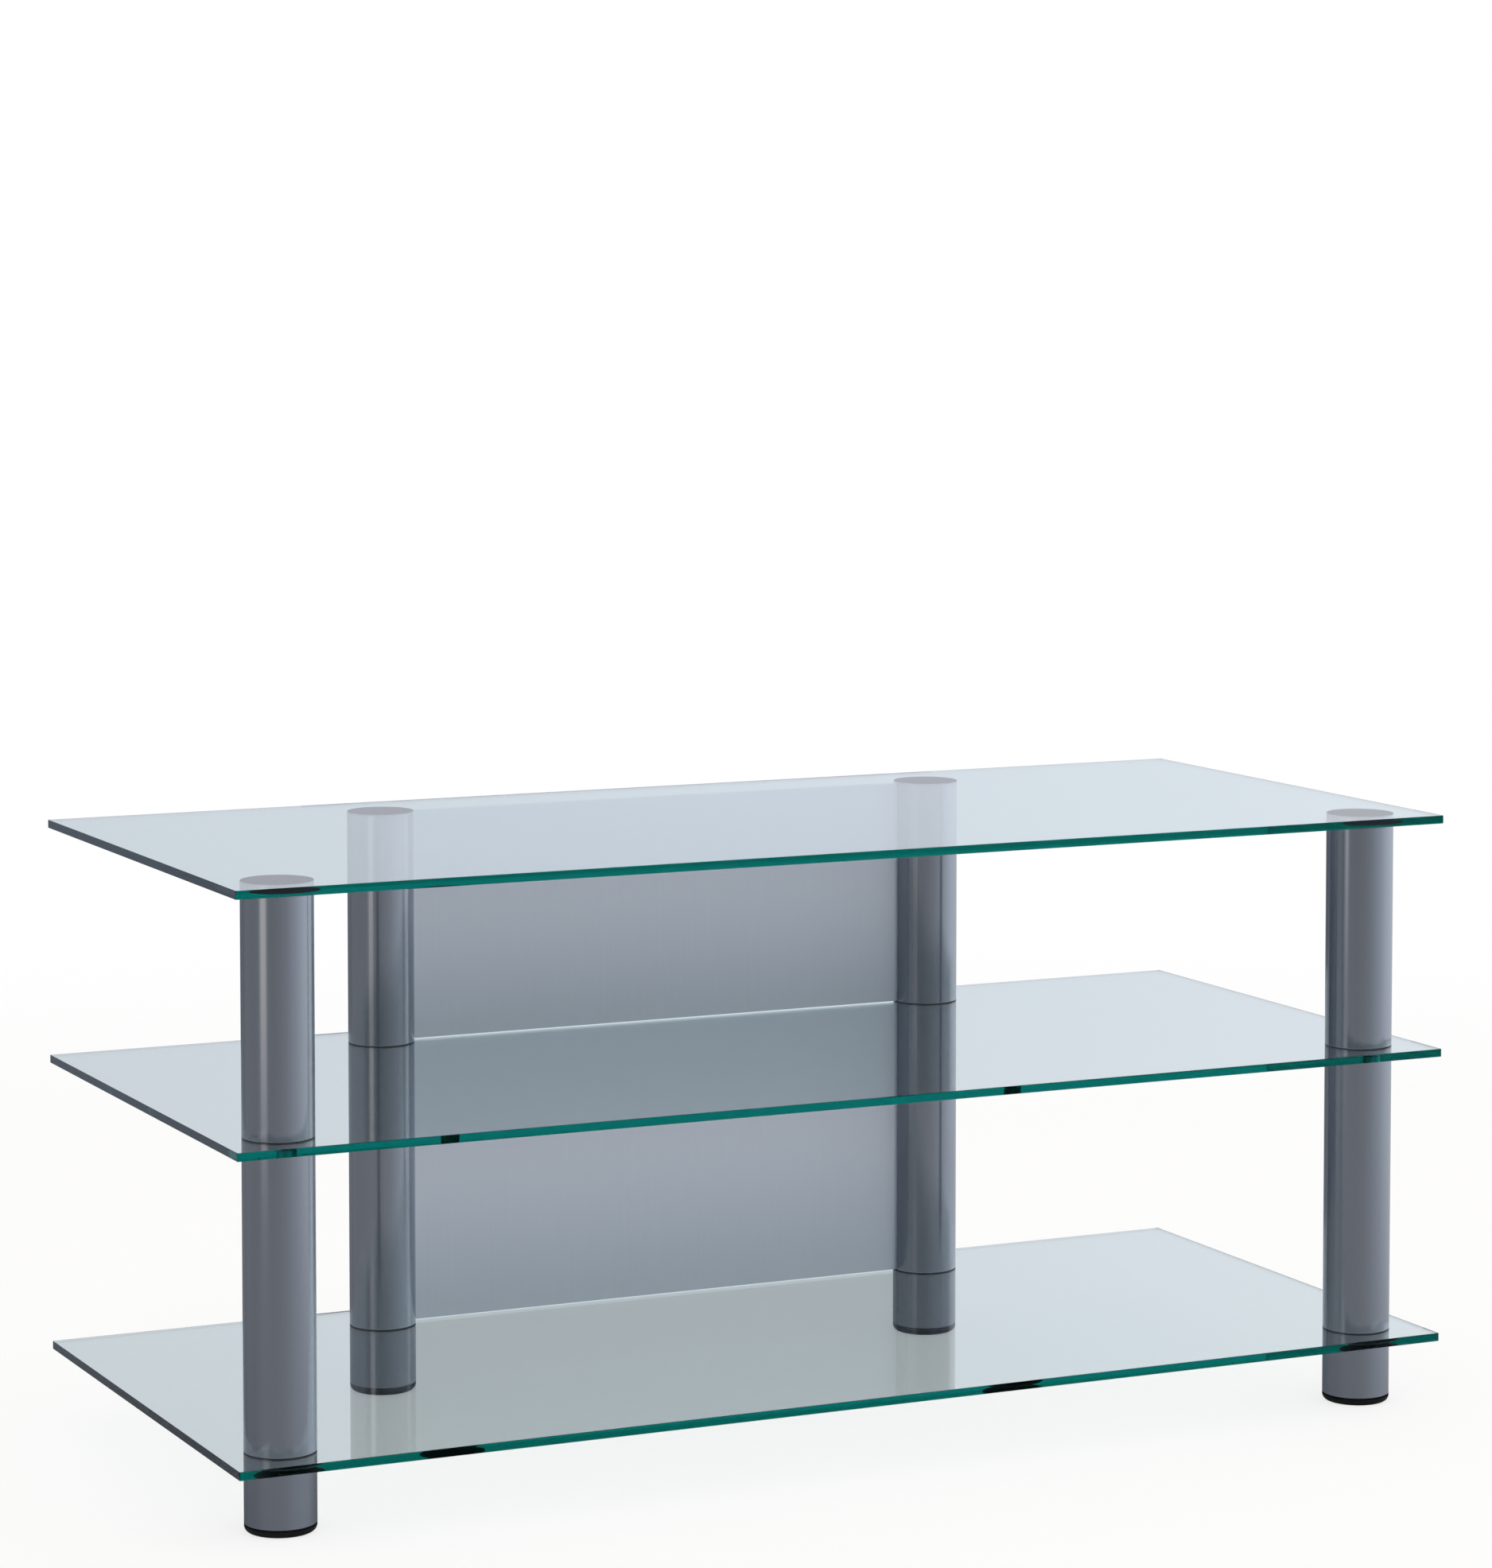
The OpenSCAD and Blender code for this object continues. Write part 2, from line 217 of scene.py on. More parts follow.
class StandColours(bpy.types.PropertyGroup):
    """Colours of the finishes."""

    tube: hex_colour("Tube", "Satin anodised tube, dark grey with a touch of blue", "#8E949F")
    panel: hex_colour("Panel", "Satin anodised sheet, silver", "#D3D7E2")
    zinc: hex_colour("Zinc", "Bright zinc plated steel", "#C4C6C6")
    plastic: hex_colour("Plastic", "Black moulded polyamide", "#1A1A1C")
    # The collars' black is painted paler than the other black plastic, as painted light against the shade
    # between tube and glass
    collar: hex_colour("Collar", "Soft black moulded polyamide of the plugs in the tubes", "#48474A")
    bond: hex_colour("Bond", "Black adhesive pad", "#2E282D")
    foot: hex_colour("Foot", "Black rubber of the feet", "#141416")
    liner: hex_colour("Hole liner", "Sea green anodising of the sleeves in the middle glass", "#27A29F")


def sizes():
    """The sizes in use."""
    return bpy.context.scene.stand_sizes


def colours():
    """The colours in use."""
    return bpy.context.scene.stand_colours


# Meshes


def make_piece(name, points, faces, material, sharp_deg=30.0):
    """A mesh object at the origin, smooth except where two faces meet at more than sharp_deg."""
    mesh = bpy.data.meshes.new(name)
    mesh.from_pydata(np.asarray(points).reshape(-1, 3).tolist(), [], faces)
    mesh.validate()
    mesh.update()
    mesh.shade_smooth()
    mesh.set_sharp_from_angle(angle=math.radians(sharp_deg))
    mesh.materials.append(material)
    piece = bpy.data.objects.new(name, mesh)
    bpy.context.scene.collection.objects.link(piece)
    return piece


def ring_faces(rings, per_ring, close_rings, close_points=True):
    """Quads between neighbouring rings of a grid of points, as a list of index rows.

    The rings follow one another in the list of points. A closed grid also joins the last ring to the
    first, or the last point of each ring to its first.
    """
    ring, point = np.meshgrid(
        np.arange(rings if close_rings else rings - 1),
        np.arange(per_ring if close_points else per_ring - 1), indexing="ij")
    next_ring, next_point = (ring + 1) % rings, (point + 1) % per_ring
    corners = ((ring, point), (next_ring, point), (next_ring, next_point), (ring, next_point))
    quads = np.stack([row * per_ring + place for row, place in corners], -1)
    return quads.reshape(-1, 4).tolist()


def turned(profile, axis, sides, gap=0.0, turn=0.0):
    """Points and faces of a closed profile turned about a vertical axis.

    The profile is a row of (radius, height) pairs, anticlockwise. Point (i, j) lies at the radius of pair j
    and at the angle turn + i steps. With a gap, an angle, the turning stops short of a full turn by that
    much and both cut ends are closed by the profile itself.
    """
    if gap:
        angle = turn + np.linspace(gap / 2, 2 * math.pi - gap / 2, sides + 1)
    else:
        angle = turn + np.arange(sides) * (2 * math.pi / sides)
    radius, height = np.asarray(profile, float).T
    points = np.stack([
        axis[0] + np.cos(angle)[:, None] * radius,
        axis[1] + np.sin(angle)[:, None] * radius,
        np.broadcast_to(height, (len(angle), len(height))),
    ], -1)
    faces = ring_faces(len(angle), len(profile), close_rings=not gap)
    if gap:
        first = list(range(len(profile)))
        last = [(len(angle) - 1) * len(profile) + j for j in first]
        faces += [first[::-1], last]
    return points.reshape(-1, 3), faces


def quarter(centre, radius, start_deg, steps=ROUND_STEPS):
    """Points of a quarter circle of that radius, at even steps from an angle onwards."""
    angle = np.radians(start_deg + np.linspace(0, 90, steps + 1))
    return np.stack([centre[0] + radius * np.cos(angle), centre[1] + radius * np.sin(angle)], -1)


def join_meshes(meshes):
    """Several (points, faces) pairs as one pair."""
    all_points, all_faces, start = [], [], 0
    for points, faces in meshes:
        all_points.append(points)
        all_faces += [[index + start for index in face] for face in faces]
        start += len(points)
    return np.concatenate(all_points), all_faces


def rounded_rectangle(half_width, half_depth, radius):
    """Outline of a rectangle about the origin with round corners, anticlockwise: a quarter circle at each
    corner, with a straight side from the end of one to the start of the next."""
    x, y = half_width - radius, half_depth - radius
    middles = ((x, y), (-x, y), (-x, -y), (x, -y))
    return np.concatenate([
        quarter(middle, radius, 90 * turns, CORNER_STEPS) for turns, middle in enumerate(middles)])


def glass_plate(bottom, top):
    """Points and faces of a plate with a flat edge and an arris above and below it.

    The edge's profile, (inset, height) pairs, is carried along the rectangle's outline. Each ring of the
    grid is the outline drawn in by the inset, its corner radius less half of it, and two polygons close
    the plate.
    """
    size = sizes()
    arris = size.glass_arris
    rings = []
    for inset, height in ((arris, bottom), (0.0, bottom + arris), (0.0, top - arris), (arris, top)):
        half_width, half_depth = GLASS_HALVES - inset
        outline = rounded_rectangle(half_width, half_depth, size.glass_corner - inset / 2)
        rings.append(np.column_stack([outline, np.full(len(outline), height)]))
    count = len(rings[0])
    faces = [face[::-1] for face in ring_faces(len(rings), count, close_rings=False)]
    faces += [list(range(count))[::-1], [(len(rings) - 1) * count + j for j in range(count)]]
    return np.concatenate(rings), faces


def drill(plate, bottom, top):
    """Cuts a round hole for each tie rod through the plate, with a small countersink at both faces.

    The cutter's profile is turned about each post's axis. It widens at 45 degrees from an arris's width
    within each face to well past it.
    """
    size = sizes()
    sink = size.glass_arris
    radius = size.hole_diameter / 2
    wide = radius + sink + CUTTER_REACH
    profile = [
        (0, bottom - CUTTER_REACH), (wide, bottom - CUTTER_REACH), (radius, bottom + sink),
        (radius, top - sink), (wide, top + CUTTER_REACH), (0, top + CUTTER_REACH)]
    points, faces = join_meshes([turned(profile, post_axis(corner), HOLE_SIDES) for corner in CORNERS])
    cutter = make_piece("hole_cutter", points, faces, plate.data.materials[0])
    clean(cutter)
    cut = plate.modifiers.new("holes", "BOOLEAN")
    cut.operation, cut.solver, cut.object = "DIFFERENCE", "EXACT", cutter
    apply_modifiers(plate)
    mesh = cutter.data
    bpy.data.objects.remove(cutter)
    bpy.data.meshes.remove(mesh)
    plate.data.shade_smooth()
    plate.data.set_sharp_from_angle(angle=math.radians(FLAT_DEG))


def clean(piece):
    """Merges points that coincide and turns all faces outwards."""
    bpy.ops.object.select_all(action="DESELECT")
    bpy.context.view_layer.objects.active = piece
    piece.select_set(True)
    bpy.ops.object.mode_set(mode="EDIT")
    bpy.ops.mesh.select_all(action="SELECT")
    bpy.ops.mesh.remove_doubles(threshold=0.001 * MM)
    bpy.ops.mesh.normals_make_consistent(inside=False)
    bpy.ops.object.mode_set(mode="OBJECT")
    piece.select_set(False)


def apply_modifiers(piece):
    """Puts the result of a piece's modifiers into its mesh."""
    bpy.context.view_layer.update()
    graph = bpy.context.evaluated_depsgraph_get()
    done = bpy.data.meshes.new_from_object(piece.evaluated_get(graph))
    old = piece.data
    piece.modifiers.clear()
    piece.data = done
    done.name = old.name
    bpy.data.meshes.remove(old)


# Materials


def add(tree, kind, inputs=None, **settings):
    """Adds a node, sets its properties, and sets or links its inputs by name or number."""
    node = tree.nodes.new(kind)
    for key, value in settings.items():
        setattr(node, key, value)
    for key, value in (inputs or {}).items():
        if isinstance(value, bpy.types.NodeSocket):
            tree.links.new(value, node.inputs[key])
        else:
            node.inputs[key].default_value = value
    return node


def new_material(name):
    """An empty material and its node tree."""
    material = bpy.data.materials.new(name)
    material.use_nodes = True
    material.node_tree.nodes.clear()
    return material, material.node_tree


def rgba(colour, factor=1.0):
    """A linear colour as four numbers, its channels times a factor and none over 1."""
    return tuple(min(c * factor, 1.0) for c in colour[:3]) + (1.0,)


def clear_float_glass():
    """Toughened clear float glass: the faces are fire polished, so they mirror sharply at a flat angle.
    The edges are ground and polished and show the depth of the glass, which takes out red most and
    leaves blue-green."""
    material, tree = new_material("clear_float_glass")
    where = add(tree, "ShaderNodeTexCoord")
    # The drilled holes are left as the drill ground them, matt. Their walls are the upright faces that
    # lie inside the outline
    upright = add(tree, "ShaderNodeSeparateXYZ", {0: where.outputs["Normal"]})
    level = add(tree, "ShaderNodeMath", {0: upright.outputs["Z"]}, operation="ABSOLUTE")
    in_hole = add(tree, "ShaderNodeMath", {0: level.outputs[0], 1: 0.5}, operation="LESS_THAN")
    place = add(tree, "ShaderNodeSeparateXYZ", {0: where.outputs["Object"]})
    for axis, half in zip("XY", GLASS_HALVES):
        off_centre = add(tree, "ShaderNodeMath", {0: place.outputs[axis]}, operation="ABSOLUTE")
        inside = add(tree, "ShaderNodeMath", {0: off_centre.outputs[0], 1: half - OUTLINE_MARGIN},
                     operation="LESS_THAN")
        in_hole = add(tree, "ShaderNodeMath", {0: in_hole.outputs[0], 1: inside.outputs[0]},
                      operation="MULTIPLY")
    # The drill leaves grit marks about 0.3 mm across
    grit = add(tree, "ShaderNodeTexNoise", {"Vector": where.outputs["Object"], "Scale": 1 / (0.3 * MM)})
    ground = add(tree, "ShaderNodeMapRange", {0: grit.outputs["Fac"], 3: 0.45, 4: 0.65})
    roughness = add(tree, "ShaderNodeMath", {0: ground.outputs[0], 1: in_hole.outputs[0]},
                    operation="MULTIPLY")
    # Head on it mirrors next to nothing, and at a flat angle as any glass does
    glass = add(tree, "ShaderNodeBsdfPrincipled", {
        "Base Color": (1, 1, 1, 1), "Roughness": roughness.outputs[0], "IOR": 1.52,
        "Transmission Weight": 1.0, "Specular Tint": (0.04, 0.08, 0.10, 1)})
    # Light from lamps and pale surfaces passes straight through, less what each face mirrors back
    through = add(tree, "ShaderNodeBsdfTransparent", {"Color": (0.955, 0.955, 0.955, 1)})
    path = add(tree, "ShaderNodeLightPath")
    passing = add(tree, "ShaderNodeMath", {
        0: path.outputs["Is Shadow Ray"], 1: path.outputs["Is Diffuse Ray"]}, operation="MAXIMUM")
    surface = add(tree, "ShaderNodeMixShader", {
        0: passing.outputs[0], 1: glass.outputs[0], 2: through.outputs[0]})
    # Per metre it takes 14 of red, 4.0 of green and 4.4 of blue, as clear float glass does
    depth = add(tree, "ShaderNodeVolumeAbsorption", {"Color": (0.36, 0.82, 0.80, 1), "Density": 22.0})
    add(tree, "ShaderNodeOutputMaterial", {"Surface": surface.outputs[0], "Volume": depth.outputs[0]})
    return material


def drawn_marks(tree, across_mm, along_mm):
    """Noise in long streaks up and down, across_mm wide and along_mm long, on Object coordinates."""
    where = add(tree, "ShaderNodeTexCoord")
    scale = (1 / (across_mm * MM), 1 / (across_mm * MM), 1 / (along_mm * MM))
    stretch = add(tree, "ShaderNodeMapping", {"Vector": where.outputs["Object"], "Scale": scale})
    return add(tree, "ShaderNodeTexNoise", {
        "Vector": stretch.outputs[0], "Scale": 1.0, "Detail": 3.0, "Roughness": 0.55})


def round_marks(tree, across_mm, detail):
    """Noise in round marks, across_mm wide, on Object coordinates."""
    where = add(tree, "ShaderNodeTexCoord")
    return add(tree, "ShaderNodeTexNoise", {
        "Vector": where.outputs["Object"], "Scale": 1 / (across_mm * MM), "Detail": detail})


def surface_with_marks(tree, marks, colour, tones, roughness, shader, bump=None):
    """Ends a material whose colour and roughness follow its marks.

    The tones are the factors of the colour and the roughness its values where the marks are lowest and
    highest. The shader holds its other inputs by name. A bump is its strength and its depth in
    millimetres.
    """
    height = marks.outputs["Fac"]
    low_tone, high_tone = (rgba(colour, factor) for factor in tones)
    tone = add(tree, "ShaderNodeMix", {0: height, 6: low_tone, 7: high_tone}, data_type="RGBA")
    rough = add(tree, "ShaderNodeMapRange", {0: height, 3: roughness[0], 4: roughness[1]})
    inputs = {"Base Color": tone.outputs[2], "Roughness": rough.outputs[0], **shader}
    if bump:
        strength, depth_mm = bump
        relief = add(tree, "ShaderNodeBump", {
            "Height": height, "Strength": strength, "Distance": depth_mm * MM})
        inputs["Normal"] = relief.outputs[0]
    skin = add(tree, "ShaderNodeBsdfPrincipled", inputs)
    add(tree, "ShaderNodeOutputMaterial", {"Surface": skin.outputs[0]})


def satin_anodised_tube():
    """Drawn aluminium tube, etched and anodised: a soft satin that blurs what it mirrors, with the
    faint lengthways streaks of the drawing die left under the oxide."""
    material, tree = new_material("satin_anodised_tube")
    # Die streaks are about 0.05 mm wide and are drawn at 0.9 mm, or they would not show
    streaks = drawn_marks(tree, across_mm=0.9, along_mm=160)
    surface_with_marks(tree, streaks, colours().tube, tones=(0.96, 1.04), roughness=(0.17, 0.22),
                       shader={"Metallic": 1.0}, bump=(0.05, 0.02))
    return material


def satin_anodised_sheet():
    """Rolled aluminium sheet, etched and anodised natural silver: duller than the tubes, with a faint
    grain along the rolling direction, which runs upright here."""
    material, tree = new_material("satin_anodised_sheet")
    # Rolling grain is about 0.1 mm wide and is drawn at 1.2 mm, or it would not show
    grain = drawn_marks(tree, across_mm=1.2, along_mm=90)
    surface_with_marks(tree, grain, colours().panel, tones=(0.97, 1.03), roughness=(0.32, 0.40),
                       shader={"Metallic": 1.0}, bump=(0.05, 0.02))
    return material


def zinc_plated_steel():
    """Turned steel, bright zinc plated: a pale metal with the crystalline mottle of the plating."""
    material, tree = new_material("zinc_plated_steel")
    # The mottle is about 0.8 mm across
    mottle = round_marks(tree, across_mm=0.8, detail=4.0)
    surface_with_marks(tree, mottle, colours().zinc, tones=(0.90, 1.05), roughness=(0.22, 0.36),
                       shader={"Metallic": 1.0})
    return material


def blasted_anodised_sleeve():
    """Aluminium sleeve, bead blasted and anodised sea green: satin, with the fine dimples of the beads.
    It mirrors in a broad blur the light that runs along inside the glass."""
    material, tree = new_material("blasted_anodised_sleeve")
    # The beads leave dimples about 0.2 mm across
    dimples = round_marks(tree, across_mm=0.2, detail=2.0)
    surface_with_marks(tree, dimples, colours().liner, tones=(0.94, 1.04), roughness=(0.40, 0.50),
                       shader={"Metallic": 1.0})
    return material


def black_moulding(name, colour, roughness, grain_mm, depth_mm, gloss):
    """Black plastic or rubber with a spark-eroded mould grain, grain_mm across and depth_mm deep. The
    gloss is its specular level, and is none where the piece lies in the dark or wets the glass."""
    material, tree = new_material(name)
    grain = round_marks(tree, grain_mm, detail=3.0)
    surface_with_marks(tree, grain, colour, tones=(0.85, 1.15), roughness=roughness,
                       shader={"IOR": 1.5, "Specular IOR Level": gloss}, bump=(0.3, depth_mm))
    return material


def black_polyamide():
    """Moulded polyamide, black: half matt, with a fine eroded grain."""
    return black_moulding("black_polyamide", colours().plastic, roughness=(0.42, 0.55),
                          grain_mm=0.35, depth_mm=0.01, gloss=0.0)


def lightened_black_polyamide():
    """Moulded polyamide of the plugs in the tubes, more matt than the rest. Its black is painted paler, as
    painted light against the shade that falls on the collars between tube and glass.
    """
    return black_moulding("lightened_black_polyamide", colours().collar, roughness=(0.50, 0.62),
                          grain_mm=0.35, depth_mm=0.01, gloss=0.0)


def black_bonding_film():
    """Cured adhesive film: black and even, without a gloss of its own where it wets the glass."""
    return black_moulding("black_bonding_film", colours().bond, roughness=(0.45, 0.55),
                          grain_mm=0.6, depth_mm=0.005, gloss=0.0)


def black_foot_rubber():
    """Moulded rubber: black and dull, with a slightly coarser grain."""
    return black_moulding("black_foot_rubber", colours().foot, roughness=(0.50, 0.66),
                          grain_mm=0.5, depth_mm=0.02, gloss=0.2)


# What makes the material of each slot of the record, and of two finishes that only the scene has
MAKERS = {
    "clear_glass": clear_float_glass,
    "satin_aluminium": satin_anodised_tube,
    "panel_aluminium": satin_anodised_sheet,
    "zinc_steel": zinc_plated_steel,
    "black_plastic": black_polyamide,
    "black_pad": black_bonding_film,
    "foot_rubber": black_foot_rubber,
    "collar_plastic": lightened_black_polyamide,
    "hole_liner": blasted_anodised_sleeve,
}
# The materials made so far, by the same keys
FINISHES = {}


def finish(key):
    """The material with one of these keys, made once."""
    if key not in FINISHES:
        FINISHES[key] = MAKERS[key]()
    return FINISHES[key]


# Operators


class STAND_OT_camera(bpy.types.Operator):
    """Sets up the camera at the photograph's viewing angle."""

    bl_idname = "stand.camera"
    bl_label = "Camera"

    def execute(self, context):
        data = bpy.data.cameras.new("camera")
        data.sensor_fit = "AUTO"
        data.sensor_width = 36.0
        data.lens = CAMERA_LENS_MM
        data.shift_y = CAMERA_SHIFT_Y
        data.clip_start, data.clip_end = CAMERA_CLIP
        camera = bpy.data.objects.new("camera", data)
        camera.location = CAMERA_PLACE
        camera.rotation_euler = (
            math.pi / 2 - math.radians(CAMERA_PITCH_DEG), 0.0, -math.radians(CAMERA_YAW_DEG))
        context.scene.collection.objects.link(camera)
        context.scene.camera = camera
        return {"FINISHED"}


class STAND_OT_glass_shelves(bpy.types.Operator):
    """Makes the three glass shelves."""

    bl_idname = "stand.glass_shelves"
    bl_label = "Glass shelves"

    def execute(self, context):
        size = sizes()
        # How far the lower and the upper face move outwards from their nominal place
        reach = {
            "top_shelf": (size.wetting, 0.0),
            "middle_shelf": (-size.air_gap, -size.air_gap),
            "bottom_shelf": (size.wetting, size.wetting),
        }
        for node, (downwards, upwards) in reach.items():
            low, high = node_box(node)
            bottom, top = low[2] - downwards, high[2] + upwards
            points, faces = glass_plate(bottom, top)
            plate = make_piece(f"{node}_glass", points, faces, finish("clear_glass"), FLAT_DEG)
            clean(plate)
            if node != "top_shelf":
                drill(plate, bottom, top)
            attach(plate, STAND)
            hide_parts(node)
        return {"FINISHED"}


class STAND_OT_hole_liners(bpy.types.Operator):
    """Makes the thin sleeves that keep the fittings off the walls of the glass holes: black in the
    bottom glass, like the collars on it, and sea green in the middle one, like the glass edge."""

    bl_idname = "stand.hole_liners"
    bl_label = "Hole liners"

    def execute(self, context):
        size = sizes()
        outer = size.hole_diameter / 2 + size.wetting
        inner = outer - size.liner_wall
        for shelf, key in (("middle", "hole_liner"), ("bottom", "black_plastic")):
            low, high = node_box(f"{shelf}_shelf")
            bottom, top = low[2] + size.liner_setback, high[2] - size.liner_setback
            profile = [(inner, bottom), (outer, bottom), (outer, top), (inner, top)]
            points, faces = join_meshes([
                turned(profile, post_axis(corner), HOLE_SIDES) for corner in CORNERS])
            liners = make_piece(f"{shelf}_hole_liners", points, faces, finish(key))
            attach(liners, STAND)
        return {"FINISHED"}


class STAND_OT_post_tubes(bpy.types.Operator):
    """Makes the twelve post tubes, the rear ones slotted for the panels."""

    bl_idname = "stand.post_tubes"
    bl_label = "Post tubes"

    def execute(self, context):
        size = sizes()
        bore = TUBE_RADIUS - size.tube_wall
        rounding = size.tube_end_round
        middle = TUBE_RADIUS - rounding
        slot = 2 * math.asin(size.slot_width / 2 / TUBE_RADIUS)
        for stage in STAGES:
            for corner in CORNERS:
                node = f"{stage}_tube_{corner}"
                low, high = node_box(node)
                bottom, top = low[2], high[2]
                # Two rings close to the ends keep the long wall's shading straight
                profile = np.concatenate([
                    [(bore, bottom)],
                    quarter((middle, bottom + rounding), rounding, -90),
                    [(TUBE_RADIUS, bottom + 3 * rounding), (TUBE_RADIUS, top - 3 * rounding)],
                    quarter((middle, top - rounding), rounding, 0),
                    [(bore, top)]])
                slotted = corner.startswith("rear") and stage != "base"
                points, faces = turned(profile, post_axis(corner), TUBE_SIDES, slot if slotted else 0.0,
                                       towards_middle(corner))
                tube = make_piece(f"{node}_drawn", points, faces, finish("satin_aluminium"))
                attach(tube, STAND)
                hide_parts(node)
        return {"FINISHED"}


class STAND_OT_back_panels(bpy.types.Operator):
    """Makes the two back panels with their tongues."""

    bl_idname = "stand.back_panels"
    bl_label = "Back panels"

    def execute(self, context):
        size = sizes()
        for stage in ("upper", "lower"):
            node = f"back_panel_{stage}"
            low, high = node_box(node)
            tube_low, tube_high = node_box(f"{stage}_tube_rear_right")
            body_x, tongue_x = tube_low[0] - size.panel_gap, high[0]
            tongue_low, tongue_high = tube_low[2] + size.tongue_play, tube_high[2] - size.tongue_play
            # Outline of the right half, from the bottom up, and its mirror image
            right = np.array([
                (body_x, low[2]), (body_x, tongue_low), (tongue_x, tongue_low),
                (tongue_x, tongue_high), (body_x, tongue_high), (body_x, high[2])])
            outline = np.concatenate([right, right[::-1] * (-1, 1)])
            count = len(outline)
            # It is drawn at the front and the back face, and quads join the two
            front, back = (
                np.column_stack([outline[:, 0], np.full(count, y), outline[:, 1]])
                for y in (low[1], high[1]))
            faces = ring_faces(2, count, close_rings=False)
            faces += [list(range(count)), [count + j for j in range(count)][::-1]]
            # The bevel gives the edges their shading, so none is sharp
            sheet = make_piece(f"{node}_sheet", np.concatenate([front, back]), faces,
                               finish("panel_aluminium"), sharp_deg=180)
            clean(sheet)
            edge = sheet.modifiers.new("broken_edge", "BEVEL")
            edge.width = size.sheet_edge
            edge.segments = BEVEL_STEPS
            edge.limit_method = "ANGLE"
            edge.harden_normals = True
            apply_modifiers(sheet)
            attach(sheet, STAND)
            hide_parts(node)
        return {"FINISHED"}


class STAND_OT_fittings(bpy.types.Operator):
    """Gives their finishes to the fittings that stay as they are in the frame: discs, pads, rods, nuts,
    plugs, screws and feet."""

    bl_idname = "stand.fittings"
    bl_label = "Fittings and feet"

    def execute(self, context):
        slot_of = {part["node"]: part["material_slot"] for part in frame["record"]["subparts"]}
        for name, node in frame["nodes"].items():
            # A replaced node is hidden already
            if node.hide_render:
                continue
            # The plugs get a paler copy of the black plastic: painted light against the shade on their
            # collars
            material = finish("collar_plastic" if name.endswith("tube_plugs") else slot_of[name])
            for place in node.material_slots:
                place.material = material
        return {"FINISHED"}


